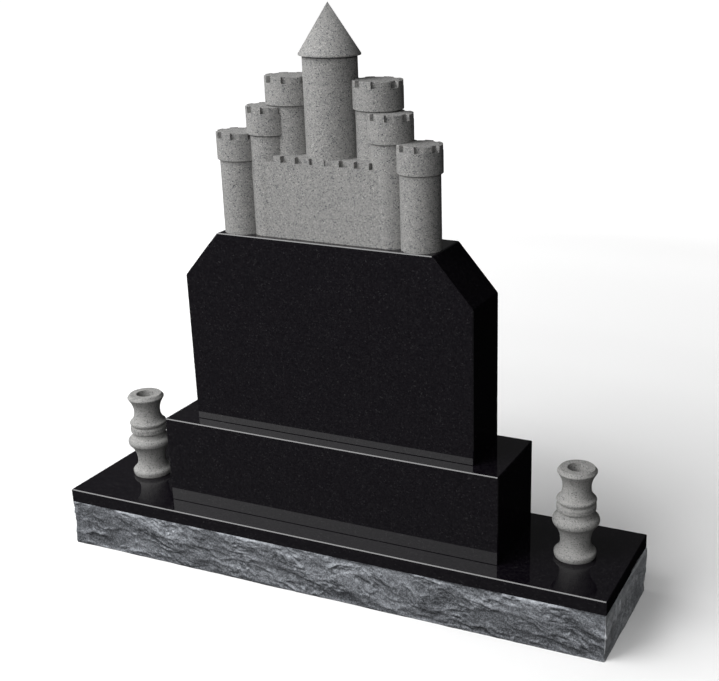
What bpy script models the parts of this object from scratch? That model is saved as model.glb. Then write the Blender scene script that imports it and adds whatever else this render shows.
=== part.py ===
"""Castle top headstone: a stone memorial that stands on the ground by its own weight.

A polished granite base with rock pitched sides carries a plinth, a tablet with cut
shoulders and, on top of the tablet, a castle carved in grey granite. A turned vase
stands at each end of the base. Metres, +Z up, front towards -Y, origin on the ground
under the middle of the base.
"""

import math

import bmesh
import bpy
from mathutils import Vector

# General
REST_GAP = 0.0003
ARRIS = 0.002
MERGE = 0.00001
ROUND_STEPS = 48
VASE_STEPS = 32
SMOOTH_ANGLE = math.radians(35)

# Castle towers, in three pairs around the tall middle tower
SMALL_SHAFT_RADIUS = 0.047
LARGE_SHAFT_RADIUS = 0.0524
CROWN_OVERHANG = 0.0055
CROWN_HEIGHT = 0.064
CROWN_NOTCHES = 8
CROWN_NOTCH_DEPTH = 0.0095
NOTCH_HEIGHT = 0.0142
OUTER_TOWER_HEIGHT = 0.239
MIDDLE_TOWER_HEIGHT = 0.3005
INNER_TOWER_HEIGHT = 0.3675
KEEP_RADIUS = 0.0627
KEEP_HEIGHT = 0.418
ROOF_OVERHANG = 0.0084
ROOF_HEIGHT = 0.1142
ROOF_EAVE = 0.003

# How far neighbouring towers run into one another, seen from the front
KEEP_MERGE = 0.0013
INNER_MERGE = 0.0558
OUTER_MERGE = 0.0170

# Castle wall
WALL_HEIGHT = 0.192
WALL_STOP = 0.004
WALL_SETBACK = 0.0012
WALL_PITCH = 0.0381
WALL_NOTCH_WIDTH = 0.019
WALL_NOTCH_DEPTH = 0.0135

# Tablet, and the ledges that its top keeps around the castle
TABLET_WIDTH = 0.764
TABLET_DEPTH = 0.152
TABLET_HEIGHT = 0.494
SHOULDER_HEIGHT = 0.114
END_LEDGE = 0.0016
FRONT_LEDGE = 0.0028
BACK_LEDGE = 0.008
WALL_LEDGE = 0.017

# Plinth, and how far it runs past the tablet
PLINTH_HEIGHT = 0.228
PLINTH_END_LEDGE = 0.0765
PLINTH_LEDGE = 0.038

# Base, and the room it keeps around the plinth and the vases
BASE_HEIGHT = 0.157
BASE_LEDGE = 0.057
VASE_TO_PLINTH = 0.0945
VASE_TO_END = 0.0765
VASE_SETBACK = 0.0065
BAND_HEIGHT = 0.035

# Rock pitched sides of the base
PITCH_PROUD = 0.0032
PITCH_RELIEF = 0.0026
END_RELIEF = 0.0014
PITCH_START = 0.010
PITCH_CELL = 0.033
LAYER_HEIGHT = 0.062
LAYER_RUN = 0.52
LAYER_DRIFT = 1.3
LAYER_SHARE = 0.6
BOULDER_LENGTH = 0.145

# Vases: radii of the turned outline, and the height of each stage from the foot up
BORE_RADIUS = 0.0239
BORE_DEPTH = 0.125
NECK_WALL = 0.0103
LIP_FLAT = 0.0176
LIP_RADIUS = 0.0475
COLLAR_RADIUS = 0.0475
RING_RADIUS = 0.0466
GROOVE_DEPTH = 0.0031
BELLY_RADIUS = 0.0568
BELLY_EDGE_RADIUS = 0.0510
STEM_RADIUS = 0.0383
FOOT_RADIUS = 0.0513
FOOT_UNDERCUT = 0.0025
FOOT_HEIGHT = 0.010
FOOT_FLARE_HEIGHT = 0.032
STEM_COVE_HEIGHT = 0.044
BELLY_UNDER_HEIGHT = 0.011
BELLY_OVER_HEIGHT = 0.0225
GROOVE_HEIGHT = 0.0055
RING_HEIGHT = 0.013
COLLAR_GROOVE_HEIGHT = 0.011
NECK_FLARE_HEIGHT = 0.037
LIP_COVE_HEIGHT = 0.034
LIP_EDGE = 0.0025
LIP_CHAMFER = 0.0075

# Places that follow from the sizes above
INNER_TOWER_ACROSS = KEEP_RADIUS + LARGE_SHAFT_RADIUS - KEEP_MERGE
MIDDLE_TOWER_ACROSS = INNER_TOWER_ACROSS + LARGE_SHAFT_RADIUS + SMALL_SHAFT_RADIUS - INNER_MERGE
OUTER_TOWER_ACROSS = MIDDLE_TOWER_ACROSS + 2 * SMALL_SHAFT_RADIUS - OUTER_MERGE
TABLET_TOP_HALF = OUTER_TOWER_ACROSS + SMALL_SHAFT_RADIUS + END_LEDGE
SHOULDER_WIDTH = TABLET_WIDTH / 2 - TABLET_TOP_HALF
WALL_FRONT = -TABLET_DEPTH / 2 + WALL_LEDGE
WALL_WIDTH = 2 * (MIDDLE_TOWER_ACROSS - WALL_STOP)
OUTER_TOWER_Y = -TABLET_DEPTH / 2 + FRONT_LEDGE + SMALL_SHAFT_RADIUS
MIDDLE_TOWER_Y = WALL_FRONT - WALL_SETBACK + SMALL_SHAFT_RADIUS
INNER_TOWER_Y = TABLET_DEPTH / 2 - BACK_LEDGE - LARGE_SHAFT_RADIUS
KEEP_Y = TABLET_DEPTH / 2 - BACK_LEDGE - KEEP_RADIUS
PLINTH_WIDTH = TABLET_WIDTH + 2 * PLINTH_END_LEDGE
PLINTH_DEPTH = TABLET_DEPTH + 2 * PLINTH_LEDGE
VASE_ACROSS = PLINTH_WIDTH / 2 + VASE_TO_PLINTH + BELLY_RADIUS
BASE_WIDTH = 2 * (VASE_ACROSS + BELLY_RADIUS + VASE_TO_END)
BASE_DEPTH = PLINTH_DEPTH + 2 * BASE_LEDGE
BAND_BOTTOM = BASE_HEIGHT - BAND_HEIGHT
PLINTH_BOTTOM = BASE_HEIGHT + REST_GAP
TABLET_BOTTOM = PLINTH_BOTTOM + PLINTH_HEIGHT + REST_GAP
CASTLE_BOTTOM = TABLET_BOTTOM + TABLET_HEIGHT + REST_GAP


def clear_scene():
    for old in list(bpy.data.objects):
        bpy.data.objects.remove(old, do_unlink=True)


def make_collection(name):
    collection = bpy.data.collections.new(name)
    bpy.context.scene.collection.children.link(collection)
    return collection


def make_material(name, colour, roughness):
    material = bpy.data.materials.new(name)
    material.use_nodes = True
    shader = material.node_tree.nodes["Principled BSDF"]
    shader.inputs["Base Color"].default_value = (*colour, 1.0)
    shader.inputs["Roughness"].default_value = roughness
    shader.inputs["Metallic"].default_value = 0.0
    material.diffuse_color = (*colour, 1.0)
    return material


def black_granite(name):
    return make_material(name, (0.012, 0.012, 0.014), 0.08)


def grey_granite(name):
    return make_material(name, (0.30, 0.30, 0.29), 0.75)


def add_object(name, bm, collection, material=None):
    mesh = bpy.data.meshes.new(name)
    bm.to_mesh(mesh)
    bm.free()
    if material:
        mesh.materials.append(material)
    result = bpy.data.objects.new(name, mesh)
    collection.objects.link(result)
    return result


def settle(target):
    """Keep the shape that the modifiers give, shaded smooth between its sharp edges."""
    graph = bpy.context.evaluated_depsgraph_get()
    mesh = bpy.data.meshes.new_from_object(target.evaluated_get(graph))
    mesh.shade_smooth()
    mesh.set_sharp_from_angle(angle=SMOOTH_ANGLE)
    mesh.name = target.name
    target.modifiers.clear()
    target.data = mesh


def box_mesh(size, centre):
    bm = bmesh.new()
    bmesh.ops.create_cube(bm, size=1.0)
    bmesh.ops.scale(bm, vec=size, verts=bm.verts)
    bmesh.ops.translate(bm, vec=centre, verts=bm.verts)
    return bm


def everything(bm):
    return bm.verts[:] + bm.edges[:] + bm.faces[:]


def cut_off(bm, point, normal):
    """Remove what lies beyond a plane and close the cut with one face."""
    cut = bmesh.ops.bisect_plane(
        bm, geom=everything(bm), plane_co=point, plane_no=normal, clear_outer=True)
    rim = [item for item in cut["geom_cut"] if isinstance(item, bmesh.types.BMEdge)]
    bmesh.ops.contextual_create(bm, geom=rim)


def weigh_edges(bm, bottom):
    """Mark the sharp edges that stand clear of the bottom for the small bevel."""
    layer = bm.edges.layers.float.new("bevel_weight_edge")
    for edge in bm.edges:
        clear = min(vert.co.z for vert in edge.verts) > bottom or (
            max(vert.co.z for vert in edge.verts) > bottom + ARRIS)
        if clear and edge.calc_face_angle(0.0) > SMOOTH_ANGLE:
            edge[layer] = 1.0


def add_arris(target):
    bevel = target.modifiers.new("arris", "BEVEL")
    bevel.limit_method = "WEIGHT"
    bevel.width = ARRIS
    bevel.segments = 1


def add_boolean(target, other, operation):
    modifier = target.modifiers.new(other.name, "BOOLEAN")
    modifier.operation = operation
    modifier.solver = "EXACT"
    modifier.object = other


def hide_guide(guide):
    guide.hide_render = True
    guide.display_type = "WIRE"


def turned(name, profile, steps, collection, material=None):
    """Turn a profile of (radius, height) points about Z."""
    bm = bmesh.new()
    points = [bm.verts.new((radius, 0.0, height)) for radius, height in profile]
    for start, end in zip(points, points[1:]):
        bm.edges.new((start, end))
    result = add_object(name, bm, collection, material)
    screw = result.modifiers.new("turn", "SCREW")
    screw.axis = "Z"
    screw.angle = 2 * math.pi
    screw.steps = steps
    screw.render_steps = steps
    screw.use_merge_vertices = True
    screw.merge_threshold = MERGE
    screw.use_smooth_shade = True
    return result


def split_faces(bm, chosen, axis, size, cells):
    """Cut the chosen faces into equal cells along one axis."""
    normal = Vector((axis == 0, axis == 1, axis == 2))
    low, high = size
    for step in range(1, cells):
        point = normal * (low + (high - low) * step / cells)
        faces = [face for face in bm.faces if chosen(face)]
        edges = {edge for face in faces for edge in face.edges}
        verts = {vert for face in faces for vert in face.verts}
        geometry = list(verts) + list(edges) + faces
        bmesh.ops.bisect_plane(bm, geom=geometry, plane_co=point, plane_no=normal)


def pitch_offset(along, down, relief):
    """How far the rock pitched face stands out, at a place along and down from the band.

    Long low layers that climb slowly along the face are crossed by shorter boulders, and
    both die out at the straight line under the band.
    """
    drift = LAYER_DRIFT * math.sin(2 * math.pi * along / LAYER_RUN)
    layers = math.sin(2 * math.pi * down / LAYER_HEIGHT + drift)
    boulders = math.sin(2 * math.pi * (along / BOULDER_LENGTH + down / LAYER_HEIGHT / 2))
    start = min(1.0, down / PITCH_START)
    return start * (PITCH_PROUD + relief * mix(boulders, layers, LAYER_SHARE))


def pitch_rock(bm):
    """Push the side faces under the band out into rock; opposite sides match half a turn."""
    half_width = BASE_WIDTH / 2
    half_depth = BASE_DEPTH / 2
    for vert in bm.verts:
        down = BAND_BOTTOM - vert.co.z
        if down < MERGE:
            continue
        x, y = vert.co.x, vert.co.y
        if abs(abs(y) - half_depth) < MERGE:
            side = math.copysign(1.0, y)
            vert.co.y += side * pitch_offset(-side * x, down, PITCH_RELIEF)
        if abs(abs(x) - half_width) < MERGE:
            side = math.copysign(1.0, x)
            vert.co.x += side * pitch_offset(side * y, down, END_RELIEF)


def make_base(collection):
    bm = box_mesh((BASE_WIDTH, BASE_DEPTH, BASE_HEIGHT), (0, 0, BASE_HEIGHT / 2))

    def is_rock(face):
        return abs(face.normal.z) < 0.5 and face.calc_center_median().z < BAND_BOTTOM

    def is_long(face):
        return is_rock(face) and abs(face.normal.y) > 0.5

    def is_end(face):
        return is_rock(face) and abs(face.normal.x) > 0.5

    bmesh.ops.bisect_plane(
        bm, geom=everything(bm), plane_co=(0, 0, BAND_BOTTOM), plane_no=(0, 0, 1))
    weigh_edges(bm, BAND_BOTTOM)
    half_width = BASE_WIDTH / 2
    half_depth = BASE_DEPTH / 2
    split_faces(bm, is_rock, 2, (0, BAND_BOTTOM), round(BAND_BOTTOM / PITCH_CELL))
    split_faces(bm, is_long, 0, (-half_width, half_width), round(BASE_WIDTH / PITCH_CELL))
    split_faces(bm, is_end, 1, (-half_depth, half_depth), round(BASE_DEPTH / PITCH_CELL))
    pitch_rock(bm)
    base = add_object("base", bm, collection, black_granite("base"))
    add_arris(base)


def make_plinth(collection):
    size = (PLINTH_WIDTH, PLINTH_DEPTH, PLINTH_HEIGHT)
    bm = box_mesh(size, (0, 0, PLINTH_BOTTOM + PLINTH_HEIGHT / 2))
    weigh_edges(bm, PLINTH_BOTTOM)
    plinth = add_object("plinth", bm, collection, black_granite("plinth"))
    add_arris(plinth)


def make_tablet(collection):
    size = (TABLET_WIDTH, TABLET_DEPTH, TABLET_HEIGHT)
    bm = box_mesh(size, (0, 0, TABLET_BOTTOM + TABLET_HEIGHT / 2))
    shoulder_level = TABLET_BOTTOM + TABLET_HEIGHT - SHOULDER_HEIGHT
    for side in (-1, 1):
        corner = (side * TABLET_WIDTH / 2, 0, shoulder_level)
        cut_off(bm, corner, (side * SHOULDER_HEIGHT, 0, SHOULDER_WIDTH))
    bm.normal_update()
    weigh_edges(bm, TABLET_BOTTOM)
    tablet = add_object("tablet", bm, collection, black_granite("tablet"))
    add_arris(tablet)


def notch_wedge(bm, radius, top, angle):
    """One notch of a crown: cheeks that point to the axis, open at the top and outside."""
    half_angle = math.pi / CROWN_NOTCHES / 2
    outside = 1.3 * radius
    wedge = bmesh.ops.create_cube(bm, size=1.0)["verts"]
    for vert in wedge:
        reach = outside if vert.co.x > 0 else radius - CROWN_NOTCH_DEPTH
        turn = angle + math.copysign(half_angle, vert.co.y)
        level = top + NOTCH_HEIGHT if vert.co.z > 0 else top - NOTCH_HEIGHT
        vert.co = (reach * math.sin(turn), -reach * math.cos(turn), level)
    return wedge


def add_tower(name, place, height, shaft_radius, guides):
    """A round shaft with a wider crown, cut with notches, as a guide at its place."""
    crown_radius = shaft_radius + CROWN_OVERHANG
    under = height - CROWN_HEIGHT
    profile = (
        (0, height), (crown_radius, height), (crown_radius, under),
        (shaft_radius, under), (shaft_radius, 0), (0, 0))
    tower = turned(name, profile, ROUND_STEPS, guides)
    tower.location = place
    bm = bmesh.new()
    for index in range(CROWN_NOTCHES):
        angle = 2 * math.pi * (index + 0.5) / CROWN_NOTCHES
        notch_wedge(bm, crown_radius, height, angle)
    bmesh.ops.recalc_face_normals(bm, faces=bm.faces)
    notches = add_object(name + "_notches", bm, guides)
    notches.location = place
    add_boolean(tower, notches, "DIFFERENCE")
    hide_guide(notches)
    hide_guide(tower)
    return tower


def add_keep(guides):
    """The tall middle tower with its pointed roof."""
    roof_radius = KEEP_RADIUS + ROOF_OVERHANG
    profile = (
        (0, KEEP_HEIGHT + ROOF_HEIGHT), (roof_radius, KEEP_HEIGHT + ROOF_EAVE),
        (roof_radius, KEEP_HEIGHT), (KEEP_RADIUS, KEEP_HEIGHT), (KEEP_RADIUS, 0), (0, 0))
    keep = turned("keep", profile, ROUND_STEPS, guides)
    keep.location = (0, KEEP_Y, CASTLE_BOTTOM)
    hide_guide(keep)
    return keep


def add_wall_notches(guides):
    """Notches at an even pitch along the top of the wall, as many as it has room for."""
    bm = bmesh.new()
    top = CASTLE_BOTTOM + WALL_HEIGHT
    count = 1 + int((WALL_WIDTH - WALL_NOTCH_WIDTH) / WALL_PITCH)
    for index in range(count):
        across = (index - (count - 1) / 2) * WALL_PITCH
        notch = bmesh.ops.create_cube(bm, size=1.0)["verts"]
        size = (WALL_NOTCH_WIDTH, 2 * WALL_NOTCH_DEPTH, 2 * NOTCH_HEIGHT)
        bmesh.ops.scale(bm, vec=size, verts=notch)
        bmesh.ops.translate(bm, vec=(across, WALL_FRONT, top), verts=notch)
    notches = add_object("wall_notches", bm, guides)
    hide_guide(notches)
    return notches


def make_castle(collection, guides):
    wall_depth = INNER_TOWER_Y - WALL_FRONT
    size = (WALL_WIDTH, wall_depth, WALL_HEIGHT)
    centre = (0, WALL_FRONT + wall_depth / 2, CASTLE_BOTTOM + WALL_HEIGHT / 2)
    castle = add_object("castle", box_mesh(size, centre), collection, grey_granite("castle"))
    add_boolean(castle, add_wall_notches(guides), "DIFFERENCE")
    add_boolean(castle, add_keep(guides), "UNION")
    rows = (
        ("inner", INNER_TOWER_ACROSS, INNER_TOWER_Y, INNER_TOWER_HEIGHT, LARGE_SHAFT_RADIUS),
        ("middle", MIDDLE_TOWER_ACROSS, MIDDLE_TOWER_Y, MIDDLE_TOWER_HEIGHT, SMALL_SHAFT_RADIUS),
        ("outer", OUTER_TOWER_ACROSS, OUTER_TOWER_Y, OUTER_TOWER_HEIGHT, SMALL_SHAFT_RADIUS))
    for name, across, y, height, shaft_radius in rows:
        for hand, side in (("left", -1), ("right", 1)):
            place = (side * across, y, CASTLE_BOTTOM)
            tower = add_tower(name + "_" + hand, place, height, shaft_radius, guides)
            add_boolean(castle, tower, "UNION")
    settle(castle)


def mix(start, end, share):
    return start + (end - start) * share


def sweep(start, end, pulls, steps):
    """Points of a curve in the turned outline, without its start.

    Each pull gives the share of the way across and up at which a handle of the curve lies.
    """
    corners = [start]
    for across, up in pulls:
        corners.append((mix(start[0], end[0], across), mix(start[1], end[1], up)))
    corners.append(end)
    points = []
    for step in range(1, steps + 1):
        t = step / steps
        weights = ((1 - t) ** 3, 3 * t * (1 - t) ** 2, 3 * t * t * (1 - t), t ** 3)
        radius = sum(weight * corner[0] for weight, corner in zip(weights, corners))
        level = sum(weight * corner[1] for weight, corner in zip(weights, corners))
        points.append((radius, level))
    return points


def vase_profile():
    """Points of radius and height: up the outside from the foot, then down the bore."""
    foot = (FOOT_RADIUS, FOOT_HEIGHT)
    stem = (STEM_RADIUS, foot[1] + FOOT_FLARE_HEIGHT)
    belly_edge = (BELLY_EDGE_RADIUS, stem[1] + STEM_COVE_HEIGHT)
    belly = (BELLY_RADIUS, belly_edge[1] + BELLY_UNDER_HEIGHT)
    groove = (RING_RADIUS - GROOVE_DEPTH, belly[1] + BELLY_OVER_HEIGHT)
    ring_low = (RING_RADIUS, groove[1] + GROOVE_HEIGHT)
    ring_high = (RING_RADIUS, ring_low[1] + RING_HEIGHT)
    collar = (COLLAR_RADIUS, ring_high[1] + COLLAR_GROOVE_HEIGHT)
    collar_groove = (RING_RADIUS - GROOVE_DEPTH, mix(ring_high[1], collar[1], 0.45))
    neck = (BORE_RADIUS + NECK_WALL, collar[1] + NECK_FLARE_HEIGHT)
    lip_under = (LIP_RADIUS, neck[1] + LIP_COVE_HEIGHT)
    lip_edge = (LIP_RADIUS, lip_under[1] + LIP_EDGE)
    top = lip_edge[1] + LIP_CHAMFER
    points = [(0, 0), (FOOT_RADIUS - FOOT_UNDERCUT, 0)]
    points += [(FOOT_RADIUS - FOOT_UNDERCUT / 3, FOOT_HEIGHT / 3), foot]
    points += sweep(foot, stem, ((0, 0.4), (1, 0.5)), 5)
    points += sweep(stem, belly_edge, ((0, 0.45), (0.6, 0.7)), 4)
    points += sweep(belly_edge, belly, ((0.4, 0.15), (1, 0.5)), 3)
    points += sweep(belly, groove, ((0, 0.45), (0.5, 0.8)), 4)
    points += [ring_low, ring_high, collar_groove, collar]
    points += sweep(collar, neck, ((0, 0.32), (1, 0.46)), 5)
    points += sweep(neck, lip_under, ((0, 0.35), (0.4, 0.62)), 5)
    points += [lip_edge, (BORE_RADIUS + LIP_FLAT, top), (BORE_RADIUS, top)]
    points += [(BORE_RADIUS, top - BORE_DEPTH), (0, top - BORE_DEPTH)]
    return points


def make_vases(collection):
    outline = vase_profile()[::-1]
    for hand, side in (("left", -1), ("right", 1)):
        name = "vase_" + hand
        vase = turned(name, outline, VASE_STEPS, collection, grey_granite(name))
        vase.location = (side * VASE_ACROSS, VASE_SETBACK, BASE_HEIGHT + REST_GAP)
        settle(vase)


def build():
    clear_scene()
    collection = make_collection("castle_top_headstone")
    guides = make_collection("guides")
    make_base(collection)
    make_plinth(collection)
    make_tablet(collection)
    make_castle(collection, guides)
    make_vases(collection)


build()
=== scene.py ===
"""Castle top headstone: polished black granite memorial with a grey granite castle.

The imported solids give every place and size. Each stone is made again here on its solid,
with the arrises, the broken faces, the notches and the turned curves of the real one.
"""

import math

import bmesh
import bpy
import numpy as np
from mathutils import Matrix, Vector


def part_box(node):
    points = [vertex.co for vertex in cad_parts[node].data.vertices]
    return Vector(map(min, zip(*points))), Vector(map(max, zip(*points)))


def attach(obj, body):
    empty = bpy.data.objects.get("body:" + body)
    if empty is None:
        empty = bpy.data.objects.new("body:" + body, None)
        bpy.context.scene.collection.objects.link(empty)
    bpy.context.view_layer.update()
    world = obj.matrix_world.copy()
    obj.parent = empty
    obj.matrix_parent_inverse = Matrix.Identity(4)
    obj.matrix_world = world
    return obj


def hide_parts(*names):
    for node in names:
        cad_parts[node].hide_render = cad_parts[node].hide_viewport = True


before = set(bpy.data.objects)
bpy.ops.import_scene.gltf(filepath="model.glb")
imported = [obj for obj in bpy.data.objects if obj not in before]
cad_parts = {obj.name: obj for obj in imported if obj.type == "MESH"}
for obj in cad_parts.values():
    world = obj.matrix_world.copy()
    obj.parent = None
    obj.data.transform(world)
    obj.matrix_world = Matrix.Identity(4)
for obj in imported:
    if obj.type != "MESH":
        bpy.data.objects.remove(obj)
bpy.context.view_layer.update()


# The base is one long block of black granite. Its top and a band under the top are sawn
# and polished, and below the band the sides are rock pitched: split off with a hammer and
# a pitching chisel, so they stand proud in slanted scars and hollows of dull grey.

BASE_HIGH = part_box("base")[1]
BASE_WIDTH = 1.4862
BASE_DEPTH = 0.342
BASE_HEIGHT = BASE_HIGH.z
BAND_HEIGHT = 0.035
BAND_BOTTOM = BASE_HEIGHT - BAND_HEIGHT
BASE_ARRIS = 0.002
CORNER_RADIUS = 0.0025
CORNER_ANGLES = np.array((0, 30, 60))

# The relief: the grid's cell, the most and the least that the rock stands out, and then
# what it is made of. Each part is (height, size of a cell across, back and up, seed).
ROCK_CELL = 0.0022
ROCK_CLEARANCE = 0.0002
ROCK_FRONT_MOST = BASE_HIGH.y - BASE_DEPTH / 2 - ROCK_CLEARANCE
ROCK_END_MOST = BASE_HIGH.x - BASE_WIDTH / 2 - ROCK_CLEARANCE
ROCK_DEEPEST = -0.0030
ROCK_MEAN = 0.0072
SCAR_LEAN = np.array((0.15, 0.18))
SCAR_BENDS = ((0.026, (0.13, 0.13, 0.09), 3), (0.007, (0.035, 0.035, 0.025), 5))
BROAD_HOLLOWS = ((0.0125, (0.15, 0.15, 0.060), 7), (0.0066, (0.046, 0.046, 0.019), 11))
SMALL_HOLLOW = (0.0036, (0.020, 0.020, 0.0095), 13)
RIBS = ((0.0024, (0.024, 0.024, 0.0085), 17), (0.0013, (0.010, 0.010, 0.0055), 23))
DETAIL_MEAN = 0.62
DETAIL_SWING = (0.75, (0.075, 0.075, 0.040), 29)
DETAIL_RANGE = (0.2, 1.1)
FOOT_EASE = 0.010
FOOT_EASE_SHARE = 0.75
BAND_EDGE = 0.0035
BAND_EDGE_SWING = (0.003, (0.02, 0.02, 0.02), 31)

# The tones of the broken stone, as shares of light to and from a mean. The slope, crest
# and end shares are painted light and shade.
MEAN_LIGHT = 0.52
# Painted light on facets that face up and painted shade on those that face down.
PAINTED_UPWARD_LIGHT = 0.38
# Painted light on the crests and painted shade in the hollows.
PAINTED_CREST_SHADING = 0.30
CREST_HEIGHT = 0.004
CREST_NEIGHBOURS = (-6, -3, 3, 6)
# Painted light on the ends, standing in for light that the lamps don't give them.
PAINTED_END_LIGHT = 0.95
EDGE_LIGHT = 0.9
FOOT_SHADE = 0.20
PATCH_LIGHT = 0.24
PATCH_CELL = (0.11, 0.11, 0.036)
PATCH_SEED = 37
MOST_LIGHT = 1.8
STREAK_CELL = np.array((0.013, 0.013, 0.0055))
STREAK_DETAIL = 7.0
STREAK_ROUGHNESS = 0.75
STREAK_DISTORTION = 0.5
STREAK_BUMP = 0.0040
STREAK_BUMP_STRENGTH = 0.8
ROCK_CRYSTAL = 0.0024
ROCK_CRYSTAL_SHARE = 0.46
ROCK_GRAIN_SHARE = 0.50
ROCK_ROUGHNESS = 0.7
DULL_SPECULAR = 0.3
ROCK_TONES = (
    (0.14, (0.010, 0.011, 0.013)), (0.32, (0.050, 0.053, 0.059)),
    (0.46, (0.135, 0.142, 0.155)), (0.60, (0.27, 0.284, 0.307)),
    (0.86, (0.53, 0.555, 0.590)), (1.0, (0.84, 0.865, 0.90)))

POLISH_ROUGHNESS = 0.05
BLACK_CRYSTAL = 0.0040
BLACK_FINE_CRYSTAL = 0.0023
BLACK_FINE_SHARE = 0.6
BLACK_TONES = (
    (0.12, (0.0012, 0.0006, 0.0020)), (0.50, (0.0046, 0.0036, 0.0056)),
    (0.78, (0.0078, 0.0068, 0.0088)), (0.90, (0.0130, 0.0123, 0.0137)),
    (1.0, (0.030, 0.029, 0.031)))


def new_material(name, roughness, specular=0.5):
    """An empty principled finish with its constant sockets set."""
    material = bpy.data.materials.new(name)
    material.use_nodes = True
    shader = material.node_tree.nodes["Principled BSDF"]
    shader.inputs["Roughness"].default_value = roughness
    shader.inputs["Specular IOR Level"].default_value = specular
    return material, material.node_tree.nodes, material.node_tree.links, shader


def grains(tree_nodes, links, size, name):
    """Random value of each crystal: cells of about that size in metres, in the stone itself."""
    place = tree_nodes.new("ShaderNodeTexCoord")
    cells = tree_nodes.new("ShaderNodeTexVoronoi")
    cells.name = name
    cells.inputs["Scale"].default_value = 1.0 / size
    value = tree_nodes.new("ShaderNodeSeparateColor")
    links.new(place.outputs["Object"], cells.inputs["Vector"])
    links.new(cells.outputs["Color"], value.inputs["Color"])
    return value


def mixed(tree_nodes, links, first, second, share):
    """One value made of two: first * (1 - share) + second * share."""
    blend = tree_nodes.new("ShaderNodeMix")
    blend.data_type = "FLOAT"
    blend.inputs["Factor"].default_value = share
    links.new(first, blend.inputs["A"])
    links.new(second, blend.inputs["B"])
    return blend.outputs["Result"]


def tone_ramp(tree_nodes, links, source, stops, interpolation="LINEAR"):
    """Colour of a value from 0 to 1, through the given (place, colour) stops."""
    ramp = tree_nodes.new("ShaderNodeValToRGB")
    ramp.color_ramp.interpolation = interpolation
    elements = ramp.color_ramp.elements
    while len(elements) < len(stops):
        elements.new(0.5)
    for element, (position, colour) in zip(elements, stops):
        element.position = position
        element.color = (*colour, 1.0)
    links.new(source, ramp.inputs["Fac"])
    return ramp.outputs["Color"]


def bumped(tree_nodes, links, shader, source, strength, distance):
    """Small unevenness of a face, from a value."""
    bump = tree_nodes.new("ShaderNodeBump")
    bump.inputs["Strength"].default_value = strength
    bump.inputs["Distance"].default_value = distance
    links.new(source, bump.inputs["Height"])
    links.new(bump.outputs["Normal"], shader.inputs["Normal"])


def polished_granite(name):
    """Nearly black stone under a mirror polish: faint crystals and a rare bright one."""
    material, tree_nodes, links, shader = new_material(name, POLISH_ROUGHNESS)
    crystal = grains(tree_nodes, links, BLACK_CRYSTAL, "crystals")
    fine = grains(tree_nodes, links, BLACK_FINE_CRYSTAL, "fine_crystals")
    tone = mixed(
        tree_nodes, links, crystal.outputs["Red"], fine.outputs["Red"], BLACK_FINE_SHARE)
    colour = tone_ramp(tree_nodes, links, tone, BLACK_TONES)
    links.new(colour, shader.inputs["Base Color"])
    return material


def broken_granite(name):
    """The same stone where it is split: dull, with painted light on the crests and painted
    shade in the hollows.

    The tone is a mean of the facet value kept in the mesh, which carries painted light and
    shade, of fine streaks that lie along the scars, and of single crystals.
    """
    material, tree_nodes, links, shader = new_material(name, ROCK_ROUGHNESS, DULL_SPECULAR)
    facet = tree_nodes.new("ShaderNodeAttribute")
    facet.attribute_name = "rock_tone_and_painted_light"
    place = tree_nodes.new("ShaderNodeAttribute")
    place.attribute_name = "along_scars"
    streak = tree_nodes.new("ShaderNodeTexNoise")
    streak.inputs["Scale"].default_value = 1.0
    streak.inputs["Detail"].default_value = STREAK_DETAIL
    streak.inputs["Roughness"].default_value = STREAK_ROUGHNESS
    streak.inputs["Distortion"].default_value = STREAK_DISTORTION
    links.new(place.outputs["Vector"], streak.inputs["Vector"])
    crystal = grains(tree_nodes, links, ROCK_CRYSTAL, "crystals")
    rough = mixed(
        tree_nodes, links, streak.outputs["Fac"], crystal.outputs["Red"], ROCK_CRYSTAL_SHARE)
    tone = mixed(tree_nodes, links, facet.outputs["Fac"], rough, ROCK_GRAIN_SHARE)
    colour = tone_ramp(tree_nodes, links, tone, ROCK_TONES)
    links.new(colour, shader.inputs["Base Color"])
    bumped(tree_nodes, links, shader, streak.outputs["Fac"], STREAK_BUMP_STRENGTH, STREAK_BUMP)
    return material


def hashed(corner, seed):
    """A repeatable random number from 0 to 1 for each whole-number place.

    The place is multiplied by large primes into one key, whose bits are then stirred.
    """
    key = corner @ np.array((73856093, 19349663, 83492791)) + seed * 7919
    key = (key ^ (key >> 13)) * 1274126177 & 0x7FFFFFFF
    key = (key ^ (key >> 15)) * 668265263 & 0x7FFFFFFF
    return ((key ^ (key >> 13)) & 0xFFFF) / 65535


def stone_noise(points, cell, seed):
    """Smooth random field from -1 to 1.

    Every corner of a lattice with that cell size has a hashed value, and a point takes the
    mean of its eight corners weighted by 6t^5 - 15t^4 + 10t^3 along each axis.
    """
    scaled = points / np.array(cell)
    corner = np.floor(scaled).astype(np.int64)
    t = scaled - corner
    t = t * t * t * (t * (t * 6 - 15) + 10)
    total = np.zeros(len(points))
    for step in np.ndindex(2, 2, 2):
        weight = np.prod(np.where(step, t, 1 - t), axis=1)
        total += weight * (2 * hashed(corner + step, seed) - 1)
    return total


def ridges(points, cell, seed):
    """Sharp crests from 0 to 1: one less the absolute value of the smooth field, doubled."""
    return 1 - np.minimum(2 * np.abs(stone_noise(points, cell, seed)), 1)


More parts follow.
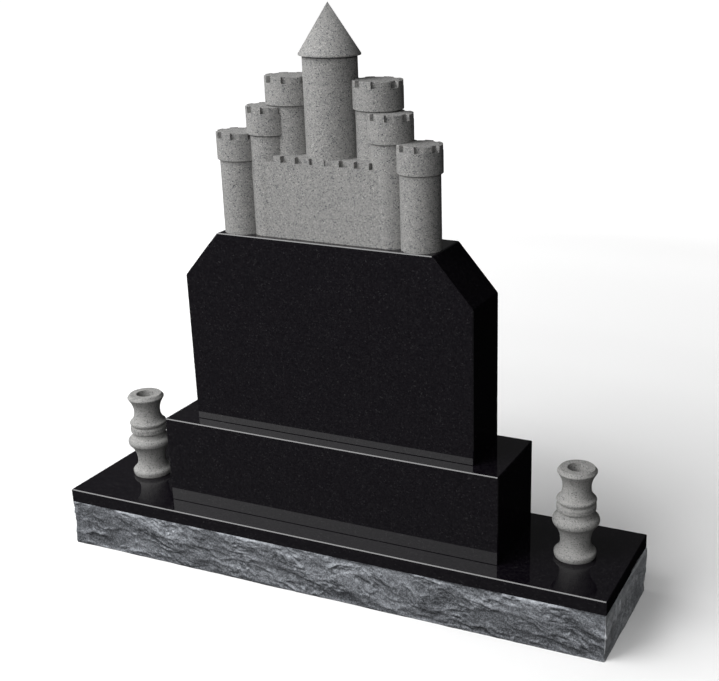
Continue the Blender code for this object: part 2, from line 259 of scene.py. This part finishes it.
def hollows(points, cell, seed):
    """Chisel hollows: 0 in the middle of each and about 1 on the crests between them.

    Space is cut into cells of that size with one hashed centre in each, and the value is
    the square of the distance to the nearest centre, counted in cells.
    """
    scaled = points / np.array(cell)
    corner = np.floor(scaled).astype(np.int64)
    nearest = np.full(len(points), 9.0)
    for step in np.ndindex(3, 3, 3):
        place = corner + np.array(step) - 1
        centre = place + np.stack([hashed(place, seed + axis) for axis in range(3)], 1)
        nearest = np.minimum(nearest, np.sum((scaled - centre) ** 2, axis=1))
    return np.minimum(nearest, 1)


def drawn(field, points, part):
    """One part of the relief: its height times the field of its cell and seed."""
    height, cell, seed = part
    return height * field(points, cell, seed)


def rounded_outline(width, depth, radius, cell):
    """Points and outward directions along a rectangle with rounded corners, front first.

    The straight sides are cut into equal steps of about one cell, and each corner is a
    quarter circle of three steps.
    """
    points, normals = [], []
    corners = ((1, -1, -90), (1, 1, 0), (-1, 1, 90), (-1, -1, 180))
    for (x, y, start), (next_x, next_y, _) in zip(corners, corners[1:] + corners[:1]):
        centre = np.array((x * (width / 2 - radius), y * (depth / 2 - radius)))
        angle = np.radians(start + CORNER_ANGLES)
        turn = np.stack((np.cos(angle), np.sin(angle)), 1)
        points.append(centre + radius * turn)
        normals.append(turn)
        side = np.radians(start + 90)
        out = np.array((np.cos(side), np.sin(side)))
        far = np.array((next_x * (width / 2 - radius), next_y * (depth / 2 - radius)))
        count = round(np.linalg.norm(far - centre) / cell)
        share = np.arange(count)[:, None] / count
        points.append(centre + radius * out + share * (far - centre))
        normals.append(np.repeat(out[None], count, 0))
    return np.concatenate(points), np.concatenate(normals)


def rock_relief(points, down, most):
    """How far each point of the broken stone stands out, in metres, and its scar frame.

    In the scar frame the height gains a share of the way across and back, so that what is
    drawn level comes out slanting down to the right, and slow noise bends it. There broad
    hollows of two sizes carry small ones and two sizes of sharp ribs, which are strong in
    some places and nearly gone in others. The sum, calmer on the ends, is eased between
    the deepest and the most by a hyperbolic tangent. Under the band it grows from nothing,
    and at the ground it comes back towards half way, where the block was sawn.
    """
    scar = np.column_stack((points[:, :2], points[:, 2] + points[:, :2] @ SCAR_LEAN))
    for bend in SCAR_BENDS:
        scar[:, 2] += drawn(stone_noise, points, bend)
    stand = sum(drawn(hollows, scar, hollow) for hollow in BROAD_HOLLOWS)
    fine = drawn(hollows, scar, SMALL_HOLLOW)
    for rib in RIBS:
        fine += drawn(ridges, scar, rib)
    detail = np.clip(DETAIL_MEAN + drawn(stone_noise, points, DETAIL_SWING), *DETAIL_RANGE)
    stand += detail * fine
    half = (most - ROCK_DEEPEST) / 2
    calm = np.minimum(1, most / ROCK_FRONT_MOST)
    eased = half * np.tanh(calm * (stand - ROCK_MEAN) / half)
    foot = np.clip((down - BAND_BOTTOM + FOOT_EASE) / FOOT_EASE, 0, 1)
    eased *= 1 - FOOT_EASE_SHARE * foot ** 2
    uneven = BAND_EDGE + drawn(stone_noise, points, BAND_EDGE_SWING)
    return (ROCK_DEEPEST + half + eased) * np.clip(down / uneven, 0, 1), scar


def rock_tone_and_painted_light(stand, row_height, out, drop, patch):
    """How light each point is: painted light on facets that face up and on crests, painted
    shade in the hollows.

    The slope is the growth of the stand from row to row, and the crest is the stand less
    its mean over the neighbours up to six points away; both are painted light and shade.
    The foot is darker by its share of the way down, broad patches are lighter or darker,
    and the ends are painted lighter than the front, in place of light the lamps don't give.
    On the upright corners, which are bruised white, 4 (x y)^2 of the direction out adds
    most light.
    """
    slope = np.clip(np.gradient(stand, axis=0) / row_height, -1, 1)
    near = sum(np.roll(stand, step, axis=1) for step in CREST_NEIGHBOURS)
    crest = np.clip((stand - near / len(CREST_NEIGHBOURS)) / CREST_HEIGHT, -1, 1)
    tone = MEAN_LIGHT + PAINTED_UPWARD_LIGHT * slope + PAINTED_CREST_SHADING * crest
    tone += PATCH_LIGHT * patch - FOOT_SHADE * drop
    tone += PAINTED_END_LIGHT * np.abs(out[..., 0]) + EDGE_LIGHT * 4 * (out[..., 0] * out[..., 1]) ** 2
    return np.clip(tone, 0, MOST_LIGHT)


def closed_mesh(name, points, loops, materials, face_materials=None, smooth=None):
    """A mesh object from a list of points and of faces, with its finishes."""
    mesh = bpy.data.meshes.new(name)
    mesh.from_pydata(points, [], loops)
    for material in materials:
        mesh.materials.append(material)
    if face_materials is not None:
        mesh.polygons.foreach_set("material_index", face_materials)
    if smooth is not None:
        mesh.polygons.foreach_set("use_smooth", smooth)
    mesh.update()
    piece = bpy.data.objects.new(name, mesh)
    bpy.context.scene.collection.objects.link(piece)
    return piece


def grid_faces(rows, columns):
    """Quads of a grid whose columns close on themselves, as rows of four point numbers."""
    index = np.arange(rows * columns).reshape(rows, columns)
    turned = np.roll(index, -1, axis=1)
    quads = np.stack((index[:-1], turned[:-1], turned[1:], index[1:]), -1)
    return quads.reshape(-1, 4)


black_granite = polished_granite("polished_black_granite")
rock_granite = broken_granite("rock_pitched_granite")
outline, outward = rounded_outline(BASE_WIDTH, BASE_DEPTH, CORNER_RADIUS, ROCK_CELL)
ring = len(outline)
rock_rows = round(BAND_BOTTOM / ROCK_CELL)
levels = np.linspace(BAND_BOTTOM, 0, rock_rows + 1)
rock_points = np.column_stack((np.tile(outline, (rock_rows + 1, 1)), np.repeat(levels, ring)))
directions = np.tile(outward, (rock_rows + 1, 1))
ends = np.abs(directions[:, 0])
most = ROCK_FRONT_MOST + ends * (ROCK_END_MOST - ROCK_FRONT_MOST)
stand, scar = rock_relief(rock_points, BAND_BOTTOM - rock_points[:, 2], most)
rock_points[:, :2] += directions * stand[:, None]
drop = 1 - rock_points[:, 2] / BAND_BOTTOM
patch = stone_noise(scar, PATCH_CELL, PATCH_SEED)
tone = rock_tone_and_painted_light(
    stand.reshape(-1, ring), BAND_BOTTOM / rock_rows, directions.reshape(-1, ring, 2),
    drop.reshape(-1, ring), patch.reshape(-1, ring)).ravel()
top_rim = np.column_stack((outline - outward * BASE_ARRIS, np.full(ring, BASE_HEIGHT)))
band_top = np.column_stack((outline, np.full(ring, BASE_HEIGHT - BASE_ARRIS)))
base_points = np.concatenate((top_rim, band_top, rock_points))
quads = grid_faces(rock_rows + 3, ring)[:, ::-1]
caps = [list(range(ring)), list(range(len(base_points) - ring, len(base_points)))[::-1]]
is_rock = np.zeros(len(quads) + 2, dtype=np.int32)
is_rock[2 * ring:len(quads)] = 1
base_stone = closed_mesh(
    "base_stone", base_points.tolist(), quads.tolist() + caps, (black_granite, rock_granite),
    is_rock, is_rock.astype(bool))
# The tones, with their painted light and shade, are kept in the mesh for the finish.
facets = base_stone.data.attributes.new("rock_tone_and_painted_light", "FLOAT", "POINT")
facet_values = np.concatenate((np.zeros(2 * ring), tone))
facets.data.foreach_set("value", facet_values.astype(np.float32))
scar_place = base_stone.data.attributes.new("along_scars", "FLOAT_VECTOR", "POINT")
scar_values = np.concatenate((np.zeros((2 * ring, 3)), scar / STREAK_CELL))
scar_place.data.foreach_set("vector", scar_values.astype(np.float32).ravel())
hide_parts("base")
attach(base_stone, "root")


# The plinth and the tablet are blocks of the same granite, sawn, ground and polished all
# over. A narrow arris is ground on every edge, and a hairline one round the foot, which
# shows as a dark line where a block stands on the next. They are set one on the other.

ARRIS = 0.002
FOOT_ARRIS = 0.0010
FOOT_CORNERS = 2
TABLET_TOP_HALF = 0.2830
SHOULDER_HEIGHT = 0.114
SAME_POINT = 1e-6
NO_LENGTH = 1e-7
SHARP_FROM = math.radians(30)


def cleaned(piece, dissolve):
    """Merge points that fall together, drop what has no area if asked, turn faces outward."""
    work = bmesh.new()
    work.from_mesh(piece.data)
    bmesh.ops.remove_doubles(work, verts=work.verts, dist=SAME_POINT)
    if dissolve:
        bmesh.ops.dissolve_degenerate(work, edges=work.edges, dist=NO_LENGTH)
    bmesh.ops.recalc_face_normals(work, faces=work.faces)
    work.to_mesh(piece.data)
    work.free()


def sawn_block(name, corners, depth):
    """A block with ground edges: its front outline carried from front to back.

    The outline starts with the two corners of the foot. Each corner is cut back along both
    its sides by its arris. Four rings make the block: the outline drawn in on the front
    face, full size one arris behind it, and the same two at the back. A side is drawn in
    along its own normal by its arris, and the drawn-in corners are where those lines meet.
    """
    corner = np.array(corners)
    number = np.arange(len(corner))
    cut = np.where(number < FOOT_CORNERS, FOOT_ARRIS, ARRIS)[:, None]
    side = np.roll(corner, -1, axis=0) - corner
    side /= np.linalg.norm(side, axis=1)[:, None]
    before = np.roll(side, 1, axis=0)
    full = np.stack((corner - cut * before, corner + cut * side), 1).reshape(-1, 2)
    inward = np.stack((-side[:, 1], side[:, 0]), 1)
    inset = np.where(number < FOOT_CORNERS - 1, FOOT_ARRIS, ARRIS)
    reach = np.sum(inward * corner, axis=1) + inset
    lines = np.stack((inward, np.roll(inward, 1, axis=0)), 1)
    meet = np.linalg.solve(lines, np.stack((reach, np.roll(reach, 1)), 1)[..., None])[..., 0]
    small = np.repeat(meet, 2, axis=0)
    rings = (
        (small, -depth / 2), (full, -depth / 2 + ARRIS), (full, depth / 2 - ARRIS),
        (small, depth / 2))
    points = np.concatenate([
        np.column_stack((shape[:, 0], np.full(len(shape), y), shape[:, 1]))
        for shape, y in rings])
    faces = grid_faces(4, len(full)).tolist()
    faces += [list(range(len(full))), list(range(3 * len(full), 4 * len(full)))]
    block = closed_mesh(name, points.tolist(), faces, (black_granite,))
    cleaned(block, False)
    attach(block, "root")
    return block


plinth_low, plinth_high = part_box("plinth")
tablet_low, tablet_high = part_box("tablet")
shoulder = tablet_high.z - SHOULDER_HEIGHT
plinth_corners = (
    (plinth_low.x, plinth_low.z), (plinth_high.x, plinth_low.z),
    (plinth_high.x, plinth_high.z), (plinth_low.x, plinth_high.z))
plinth_stone = sawn_block("plinth_stone", plinth_corners, plinth_high.y - plinth_low.y)
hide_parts("plinth")
tablet_corners = (
    (tablet_low.x, tablet_low.z), (tablet_high.x, tablet_low.z), (tablet_high.x, shoulder),
    (TABLET_TOP_HALF, tablet_high.z), (-TABLET_TOP_HALF, tablet_high.z),
    (tablet_low.x, shoulder))
tablet_stone = sawn_block("tablet_stone", tablet_corners, tablet_high.y - tablet_low.y)
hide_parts("tablet")


# The castle is carved from one block of fine grey granite and left sawn and honed: a wall
# with notches along its top, six round towers with notched crowns, and a taller round
# tower with a pointed roof. It stands on the top of the tablet.

CASTLE_LOW, CASTLE_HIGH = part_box("castle")
CASTLE_BOTTOM = CASTLE_LOW.z
TOWER_STEPS = 96
EDGE = 0.0006
SMALL_SHAFT = 0.047
LARGE_SHAFT = 0.0524
CROWN_OVERHANG = 0.0055
CROWN_HEIGHT = 0.064
QUIRK = 0.0028
QUIRK_HEIGHT = 0.0040
CROWN_NOTCHES = 8
CROWN_NOTCH_DEPTH = 0.0095
NOTCH_HEIGHT = 0.0142
KEEP_SHAFT = 0.0627
KEEP_HEIGHT = 0.418
ROOF_RADIUS = 0.0711
ROOF_EAVE = 0.003

# How far the towers run into one another, and how far each stands back from the tablet.
INNER_MERGE = 0.0013
MIDDLE_MERGE = 0.0558
OUTER_MERGE = 0.0170
TABLET_BACK = 0.076
BACK_LEDGE = 0.008
FRONT_LEDGE = 0.0028
WALL_LEDGE = 0.017
INNER_ACROSS = KEEP_SHAFT + LARGE_SHAFT - INNER_MERGE
MIDDLE_ACROSS = INNER_ACROSS + LARGE_SHAFT + SMALL_SHAFT - MIDDLE_MERGE
OUTER_ACROSS = MIDDLE_ACROSS + 2 * SMALL_SHAFT - OUTER_MERGE
WALL_FRONT = -TABLET_BACK + WALL_LEDGE
WALL_HEIGHT = 0.192
WALL_SETBACK = 0.0012
WALL_STOP = 0.004
WALL_HALF = MIDDLE_ACROSS - WALL_STOP
WALL_PITCH = 0.0381
WALL_NOTCH_WIDTH = 0.019
WALL_NOTCH_DEPTH = 0.0135
INNER_Y = TABLET_BACK - BACK_LEDGE - LARGE_SHAFT

# Each pair of towers: its place across and back, its height and the radius of its shaft.
TOWERS = (
    (OUTER_ACROSS, -TABLET_BACK + FRONT_LEDGE + SMALL_SHAFT, 0.239, SMALL_SHAFT),
    (MIDDLE_ACROSS, WALL_FRONT - WALL_SETBACK + SMALL_SHAFT, 0.3005, SMALL_SHAFT),
    (INNER_ACROSS, INNER_Y, 0.3675, LARGE_SHAFT))

GREY_CRYSTAL = 0.0021
GREY_FINE_CRYSTAL = 0.0013
GREY_FINE_SHARE = 0.25
HONED_ROUGHNESS = 0.82
HONED_BUMP = 0.0005
HONED_BUMP_STRENGTH = 0.25
GREY_TONES = (
    (0.03, (0.030, 0.031, 0.037)), (0.15, (0.092, 0.094, 0.101)),
    (0.24, (0.212, 0.212, 0.213)), (0.55, (0.250, 0.248, 0.241)),
    (0.82, (0.288, 0.284, 0.275)), (0.98, (0.46, 0.45, 0.43)))


def grey_stone(name, tones):
    """Fine grey granite: pale and dark crystals of two sizes under a honed, matt face."""
    material, tree_nodes, links, shader = new_material(name, HONED_ROUGHNESS, DULL_SPECULAR)
    crystal = grains(tree_nodes, links, GREY_CRYSTAL, "crystals")
    fine = grains(tree_nodes, links, GREY_FINE_CRYSTAL, "fine_crystals")
    tone = mixed(
        tree_nodes, links, crystal.outputs["Red"], fine.outputs["Red"], GREY_FINE_SHARE)
    colour = tone_ramp(tree_nodes, links, tone, tones)
    links.new(colour, shader.inputs["Base Color"])
    bumped(tree_nodes, links, shader, fine.outputs["Green"], HONED_BUMP_STRENGTH, HONED_BUMP)
    return material


def skin(name, grid, close_columns, material, cap_ends=False):
    """A closed mesh over a grid of points [column, row, xyz].

    Every four neighbours make a face. Columns close on themselves for a turned shape;
    rows close on themselves for a carried profile, whose two ends are then capped.
    Points that fall together are merged, so a face that shrinks to a line goes away.
    """
    columns, rows = grid.shape[:2]
    index = np.arange(columns * rows).reshape(columns, rows)
    if close_columns:
        index = np.concatenate((index, index[:1]), 0)
    else:
        index = np.concatenate((index, index[:, :1]), 1)
    quads = np.stack((index[:-1, :-1], index[1:, :-1], index[1:, 1:], index[:-1, 1:]), -1)
    faces = quads.reshape(-1, 4).tolist()
    if cap_ends:
        faces += [index[0, :-1].tolist(), index[-1, :-1].tolist()]
    piece = closed_mesh(name, grid.reshape(-1, 3).tolist(), faces, (material,))
    cleaned(piece, True)
    return piece


def tower_grid(centre, bottom, height, shaft):
    """A round tower: its profile at every angle, with the notches cut into the crown.

    In a notch the outer wall stops a notch's height short of the top and steps in. Each
    notch edge has two columns at the same angle, one of each profile. Right under the
    crown the shaft is cut in by a small slanted quirk.
    """
    crown = shaft + CROWN_OVERHANG
    inner = crown - CROWN_NOTCH_DEPTH
    under = height - CROWN_HEIGHT
    sill = height - NOTCH_HEIGHT
    start = (
        (0, 0), (shaft, 0), (shaft, under - QUIRK_HEIGHT), (shaft - QUIRK, under),
        (crown - EDGE, under), (crown, under + EDGE), (crown, sill))
    solid = start + (
        (crown, sill), (crown, height - EDGE), (crown - EDGE, height), (inner, height),
        (0, height))
    notch = start + (
        (inner, sill), (inner, height - EDGE), (inner, height), (inner, height), (0, height))
    step = 360 / TOWER_STEPS
    half = 360 / CROWN_NOTCHES / 4
    angles, states = [], []
    for index in range(TOWER_STEPS):
        angle = index * step
        offset = (angle - 2 * half) % (4 * half)
        distance = min(offset, 4 * half - offset)
        if abs(distance - half) < 1e-6:
            entering = offset > 2 * half
            angles += [angle, angle]
            states += [not entering, entering]
        else:
            angles.append(angle)
            states.append(distance < half)
    turn = np.radians(np.array(angles))
    profiles = np.where(np.array(states)[:, None, None], np.array(notch), np.array(solid))
    radius, level = profiles[..., 0], profiles[..., 1]
    return np.stack((
        centre[0] + radius * np.sin(turn)[:, None],
        centre[1] - radius * np.cos(turn)[:, None], bottom + level), -1)


def turned_grid(centre, bottom, profile, steps):
    """A profile of (radius, height) carried once round a vertical axis."""
    turn = np.radians(np.arange(steps) * 360 / steps)[:, None]
    radius, level = np.array(profile).T
    return np.stack((
        centre[0] + radius * np.sin(turn), centre[1] - radius * np.cos(turn),
        bottom + level + 0 * turn), -1)


def wall_grid(back):
    """The wall: its section from front to back at every column across.

    In a notch the section steps down at the front by the notch's height and depth.
    """
    low, high = CASTLE_BOTTOM, CASTLE_BOTTOM + WALL_HEIGHT
    sill, inner = high - NOTCH_HEIGHT, WALL_FRONT + WALL_NOTCH_DEPTH
    solid = (
        (WALL_FRONT, low), (WALL_FRONT, sill), (WALL_FRONT, sill), (WALL_FRONT, high),
        (inner, high), (back, high), (back, low))
    notch = (
        (WALL_FRONT, low), (WALL_FRONT, sill), (inner, sill), (inner, high),
        (inner, high), (back, high), (back, low))
    count = 1 + int((2 * WALL_HALF - WALL_NOTCH_WIDTH) / WALL_PITCH)
    middles = (np.arange(count) - (count - 1) / 2) * WALL_PITCH
    edges = middles[:, None] + np.array((-1, -1, 1, 1)) * WALL_NOTCH_WIDTH / 2
    across = np.concatenate(((-WALL_HALF,), edges.ravel(), (WALL_HALF,)))
    cut = np.concatenate(((False,), np.tile((False, True, True, False), count), (False,)))
    sections = np.where(cut[:, None, None], np.array(notch), np.array(solid))
    x = across[:, None] + 0 * sections[..., 0]
    return np.stack((x, sections[..., 0], sections[..., 1]), -1)


grey_granite = grey_stone("grey_granite", GREY_TONES)
castle_stone = skin("castle_stone", wall_grid(INNER_Y), False, grey_granite, True)
carved = []
for across, y, height, shaft in TOWERS:
    for side in (-1, 1):
        grid = tower_grid((side * across, y), CASTLE_BOTTOM, height, shaft)
        carved.append(skin("tower", grid, True, grey_granite))
keep_profile = (
    (0, 0), (KEEP_SHAFT, 0), (KEEP_SHAFT, KEEP_HEIGHT - QUIRK_HEIGHT),
    (KEEP_SHAFT - 2 * QUIRK, KEEP_HEIGHT), (ROOF_RADIUS - EDGE / 2, KEEP_HEIGHT),
    (ROOF_RADIUS, KEEP_HEIGHT + EDGE / 2), (ROOF_RADIUS, KEEP_HEIGHT + ROOF_EAVE),
    (0, CASTLE_HIGH.z - CASTLE_BOTTOM))
keep_centre = (0, TABLET_BACK - BACK_LEDGE - KEEP_SHAFT)
keep_grid = turned_grid(keep_centre, CASTLE_BOTTOM, keep_profile, TOWER_STEPS)
carved.append(skin("keep", keep_grid, True, grey_granite))
for tower in carved:
    union = castle_stone.modifiers.new(tower.name, "BOOLEAN")
    union.operation = "UNION"
    union.solver = "EXACT"
    union.object = tower
graph = bpy.context.evaluated_depsgraph_get()
castle_mesh = bpy.data.meshes.new_from_object(castle_stone.evaluated_get(graph))
castle_stone.modifiers.clear()
castle_stone.data = castle_mesh
castle_mesh.shade_smooth()
castle_mesh.set_sharp_from_angle(angle=SHARP_FROM)
for tower in carved:
    bpy.data.objects.remove(tower)
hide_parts("castle")
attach(castle_stone, "root")


# A pair of vases in a paler and more even grey granite, turned on a lathe, with a drilled
# bore for flowers. Each stands by itself at one end of the base.

PALE_TONES = (
    (0.07, (0.055, 0.055, 0.060)), (0.16, (0.15, 0.15, 0.153)),
    (0.22, (0.262, 0.261, 0.257)), (0.55, (0.294, 0.292, 0.284)),
    (0.85, (0.328, 0.325, 0.315)), (1.0, (0.46, 0.45, 0.43)))
VASE_STEPS = 96
VASE_LOW, VASE_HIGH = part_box("vase_right")
VASE_ACROSS = (VASE_LOW.x + VASE_HIGH.x) / 2
VASE_Y = (VASE_LOW.y + VASE_HIGH.y) / 2
VASE_BOTTOM = VASE_LOW.z
VASE_HEIGHT = 0.230
BORE_RADIUS = 0.0239
BORE_DEPTH = 0.125


def curve(start, end, pulls, steps):
    """A cubic curve in the turned outline from start to end, without its start.

    Each pull gives the share of the way across and up at which a handle lies.
    """
    start, end = np.array(start), np.array(end)
    first = start + (end - start) * np.array(pulls[0])
    second = start + (end - start) * np.array(pulls[1])
    t = (np.arange(1, steps + 1) / steps)[:, None]
    points = (1 - t) ** 3 * start + 3 * t * (1 - t) ** 2 * first
    points = points + 3 * t * t * (1 - t) * second + t ** 3 * end
    return [tuple(point) for point in points]


def vase_outline():
    """Radius and height from the foot up, over the lip and down the bore.

    The foot, the belly and the collar are each a round edge that runs into a hollow cove.
    """
    foot, foot_top, stem = (0.0513, 0.010), (0.0464, 0.0170), (0.0368, 0.041)
    belly_edge, belly, belly_top = (0.0520, 0.0855), (0.0568, 0.096), (0.0510, 0.1062)
    groove, ring_low, ring_high = (0.0428, 0.1205), (0.0469, 0.1245), (0.0471, 0.138)
    collar, collar_top = (0.0479, 0.149), (0.0448, 0.1540)
    neck, lip = (0.0342, 0.182), (0.0475, 0.220)
    points = [(0, 0), (0.0488, 0), (0.0505, 0.0033), foot]
    points += curve(foot, foot_top, ((0, 0.5), (0.5, 0.85)), 6)
    points += curve(foot_top, stem, ((0.45, 0.13), (1, 0.46)), 12)
    points += curve(stem, belly_edge, ((0, 0.48), (0.52, 0.80)), 12)
    points += curve(belly_edge, belly, ((0.5, 0.15), (1, 0.5)), 6)
    points += curve(belly, belly_top, ((0, 0.45), (0.5, 0.85)), 6)
    points += curve(belly_top, groove, ((0.6, 0.15), (1, 0.55)), 8)
    points += [ring_low, (0.0472, 0.1300), (0.0461, 0.1312), (0.0474, 0.1324), ring_high]
    points += [(0.0466, 0.1388), (0.0425, 0.1402), (0.0428, 0.1452), (0.0470, 0.1468), collar]
    points += curve(collar, collar_top, ((0, 0.5), (0.5, 0.85)), 5)
    points += curve(collar_top, neck, ((0.5, 0.15), (1, 0.5)), 12)
    points += curve(neck, lip, ((0, 0.36), (0.35, 0.66)), 12)
    points += [(0.0475, 0.2225), (0.0415, VASE_HEIGHT), (BORE_RADIUS, VASE_HEIGHT)]
    bore_bottom = VASE_HEIGHT - BORE_DEPTH
    return points + [(BORE_RADIUS, bore_bottom), (0, bore_bottom)]


pale_granite = grey_stone("pale_grey_granite", PALE_TONES)
for hand, side in (("left", -1), ("right", 1)):
    grid = turned_grid((side * VASE_ACROSS, VASE_Y), VASE_BOTTOM, vase_outline(), VASE_STEPS)
    vase = skin(f"turned_vase_{hand}", grid, True, pale_granite)
    vase.data.shade_smooth()
    vase.data.set_sharp_from_angle(angle=SHARP_FROM)
    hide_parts(f"vase_{hand}")
    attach(vase, "root")


# The stage: a plain pale floor that is bright far away, a dim room that is lighter in
# front, soft lights high on the left, in front, at the left and, much weaker, on the
# right, and the camera to the right of the front, above the castle.

RANGE_SOCKETS = ("From Min", "From Max", "To Min", "To Max")
FLOOR_HALF = 30
FLOOR_TONE = 0.80
FLOOR_ROUGHNESS = 0.9
FLOOR_REACH = 6.0

# The floor's own glow at each distance in metres from the middle of the memorial. Its
# factor goes from the third value to the fourth between the first place back and the second.
FLOOR_GLOW = (
    (0.77, 0.135), (0.95, 0.200), (1.12, 0.255), (1.60, 0.360), (2.10, 0.440), (3.00, 0.565),
    (3.70, 0.660), (5.00, 0.960))
FLOOR_FRONT = (0.05, -0.35, 1.0, 1.8)

# The room's brightness: along one axis of the direction, from the first to the second
# place, it goes from the third value to the fourth.
ROOM_FRONT = (0.25, -0.45, 0.004, 0.145)
ROOM_HIGH = (0.02, 0.16, 0.0, 0.074)
ROOM_LEFT = (0.15, -0.22, 0.08, 1.0)

# Each light: azimuth from the front to the right, elevation, width, height, radiance.
LIGHT_DISTANCE = 5.0
LIGHT_AIM = (0, 0, 0.6)
LIGHTS = (
    ("high_left", -42, 49, 3.5, 3.0, 7.6), ("front", -10, 24, 7.8, 1.0, 6.1),
    ("left", -95, 25, 3.0, 3.0, 2.8), ("right", 20, 30, 3.0, 3.0, 0.6))

floor_mesh = bpy.data.meshes.new("floor")
floor_corners = [
    (-FLOOR_HALF, -FLOOR_HALF, 0), (FLOOR_HALF, -FLOOR_HALF, 0),
    (FLOOR_HALF, FLOOR_HALF, 0), (-FLOOR_HALF, FLOOR_HALF, 0)]
floor_mesh.from_pydata(floor_corners, [], [(0, 1, 2, 3)])
floor = bpy.data.objects.new("floor", floor_mesh)
bpy.context.scene.collection.objects.link(floor)
floor_material, floor_nodes, floor_links, floor_shader = new_material(
    "pale_floor", FLOOR_ROUGHNESS, 0.0)
floor_shader.inputs["Base Color"].default_value = (FLOOR_TONE, FLOOR_TONE, FLOOR_TONE, 1)
floor_place = floor_nodes.new("ShaderNodeTexCoord")
floor_reach = floor_nodes.new("ShaderNodeVectorMath")
floor_reach.operation = "LENGTH"
floor_links.new(floor_place.outputs["Object"], floor_reach.inputs[0])
floor_share = floor_nodes.new("ShaderNodeMath")
floor_share.operation = "DIVIDE"
floor_share.inputs[1].default_value = FLOOR_REACH
floor_links.new(floor_reach.outputs["Value"], floor_share.inputs[0])
floor_stops = [(reach / FLOOR_REACH, (glow, glow, glow)) for reach, glow in FLOOR_GLOW]
floor_glow = tone_ramp(
    floor_nodes, floor_links, floor_share.outputs["Value"], floor_stops, "CARDINAL")
floor_links.new(floor_glow, floor_shader.inputs["Emission Color"])
floor_axes = floor_nodes.new("ShaderNodeSeparateXYZ")
floor_links.new(floor_place.outputs["Object"], floor_axes.inputs["Vector"])
floor_front = floor_nodes.new("ShaderNodeMapRange")
for socket, value in zip(RANGE_SOCKETS, FLOOR_FRONT):
    floor_front.inputs[socket].default_value = value
floor_links.new(floor_axes.outputs["Y"], floor_front.inputs["Value"])
floor_links.new(floor_front.outputs["Result"], floor_shader.inputs["Emission Strength"])
floor_mesh.materials.append(floor_material)
floor.visible_glossy = False
floor.visible_diffuse = False

world = bpy.data.worlds.new("studio")
bpy.context.scene.world = world
world.use_nodes = True
sky = world.node_tree
sky.nodes.clear()
direction = sky.nodes.new("ShaderNodeTexCoord")
split = sky.nodes.new("ShaderNodeSeparateXYZ")
sky.links.new(direction.outputs["Generated"], split.inputs["Vector"])


def sky_share(axis, limits):
    """A value that goes smoothly from low to high as a direction turns along one axis."""
    share = sky.nodes.new("ShaderNodeMapRange")
    share.interpolation_type = "SMOOTHSTEP"
    for socket, value in zip(RANGE_SOCKETS, limits):
        share.inputs[socket].default_value = value
    sky.links.new(split.outputs[axis], share.inputs["Value"])
    return share.outputs["Result"]


def sky_value(operation, first, second):
    """Two values of the sky put together by one operation."""
    value = sky.nodes.new("ShaderNodeMath")
    value.operation = operation
    sky.links.new(first, value.inputs[0])
    sky.links.new(second, value.inputs[1])
    return value.outputs["Value"]


in_front = sky_share("Y", ROOM_FRONT)
overhead = sky_value("MULTIPLY", sky_share("Z", ROOM_HIGH), sky_share("X", ROOM_LEFT))
brightness = sky_value("ADD", in_front, overhead)
room = sky.nodes.new("ShaderNodeBackground")
sky.links.new(brightness, room.inputs["Strength"])
backdrop = sky.nodes.new("ShaderNodeBackground")
backdrop.inputs["Strength"].default_value = 1.0
ray = sky.nodes.new("ShaderNodeLightPath")
either = sky.nodes.new("ShaderNodeMixShader")
out = sky.nodes.new("ShaderNodeOutputWorld")
sky.links.new(ray.outputs["Is Camera Ray"], either.inputs["Fac"])
sky.links.new(room.outputs["Background"], either.inputs[1])
sky.links.new(backdrop.outputs["Background"], either.inputs[2])
sky.links.new(either.outputs["Shader"], out.inputs["Surface"])


def soft_light(name, azimuth, elevation, width, height, radiance):
    """A rectangular light that faces the memorial."""
    lamp = bpy.data.lights.new(name, "AREA")
    lamp.shape = "RECTANGLE"
    lamp.size = width
    lamp.size_y = height
    lamp.energy = radiance * math.pi * width * height
    holder = bpy.data.objects.new(name, lamp)
    turn, tilt = math.radians(azimuth), math.radians(elevation)
    away = Vector((
        math.sin(turn) * math.cos(tilt), -math.cos(turn) * math.cos(tilt), math.sin(tilt)))
    facing = away.to_track_quat("Z", "Y").to_matrix().to_4x4()
    holder.matrix_world = Matrix.Translation(Vector(LIGHT_AIM) + away * LIGHT_DISTANCE) @ facing
    bpy.context.scene.collection.objects.link(holder)


for light in LIGHTS:
    soft_light(*light)

# The camera, in metres, radians and pixels of the picture.
CAMERA_PLACE = (1.3637, -2.4205, 1.5797)
YAW, PITCH, ROLL = -0.3942, -0.3558, -0.0015
FOCAL_PIXELS = 1198.76
IMAGE_WIDTH, IMAGE_HEIGHT = 719, 681
AXIS_X, AXIS_Y = 476.0, 365.64

forward = Vector((
    math.sin(YAW) * math.cos(PITCH), math.cos(YAW) * math.cos(PITCH), math.sin(PITCH)))
level = Vector((math.cos(YAW), -math.sin(YAW), 0))
upright = level.cross(forward)
right = math.cos(ROLL) * level + math.sin(ROLL) * upright
up = math.cos(ROLL) * upright - math.sin(ROLL) * level
lens = bpy.data.cameras.new("camera")
lens.lens = FOCAL_PIXELS * lens.sensor_width / IMAGE_WIDTH
lens.shift_x = (IMAGE_WIDTH / 2 - AXIS_X) / IMAGE_WIDTH
lens.shift_y = (AXIS_Y - IMAGE_HEIGHT / 2) / IMAGE_WIDTH
camera = bpy.data.objects.new("camera", lens)
turned = Matrix((right, up, -forward)).transposed().to_4x4()
camera.matrix_world = Matrix.Translation(CAMERA_PLACE) @ turned
bpy.context.scene.collection.objects.link(camera)
bpy.context.scene.camera = camera
bpy.context.scene.view_settings.view_transform = "Standard"
